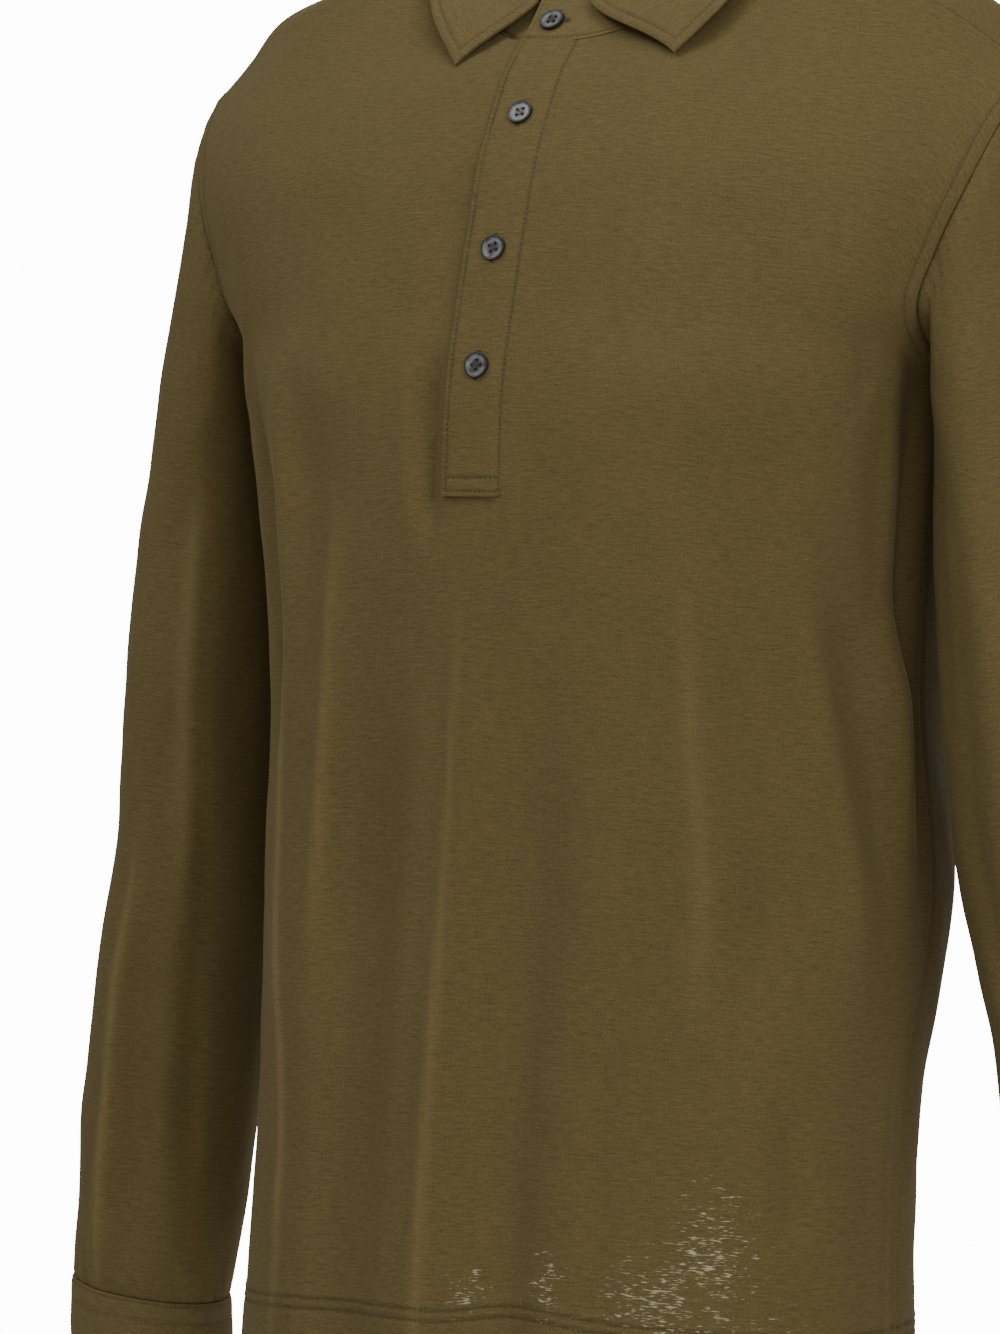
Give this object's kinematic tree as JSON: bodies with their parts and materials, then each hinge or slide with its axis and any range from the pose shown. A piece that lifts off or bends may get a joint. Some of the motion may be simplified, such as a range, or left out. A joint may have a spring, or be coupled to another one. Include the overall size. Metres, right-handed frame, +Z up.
{
  "type": "long-sleeve polo shirt",
  "caption": "Hollow worn long-sleeve polo shirt with a turned-down collar on a stand, a buttoned half placket, set-in sleeves and turned cuffs.",
  "frame": {"origin": "on the centre line, between the points where the shoulders meet the neck, where the shirt rests on its wearer", "axes": "+Z up, the front faces -Y, the wearer's left is +X"},
  "size_m": [0.6316, 0.2844, 0.8097],
  "materials": {
    "cloth": "matt slub jersey, olive",
    "doubled_cloth": "the same jersey, doubled and pressed",
    "button_shell": "polished smoky grey shell"
  },
  "bodies": {
    "root": {"front": "cloth", "back": "cloth", "sleeve_left": "cloth", "sleeve_right": "cloth", "cuff_left": "doubled_cloth", "cuff_right": "doubled_cloth", "collar": "doubled_cloth", "collar_stand": "doubled_cloth", "placket_top": "doubled_cloth", "placket_under": "doubled_cloth", "button_1": "button_shell", "button_2": "button_shell", "button_3": "button_shell", "button_stand": "button_shell"}
  },
  "joints": []
}
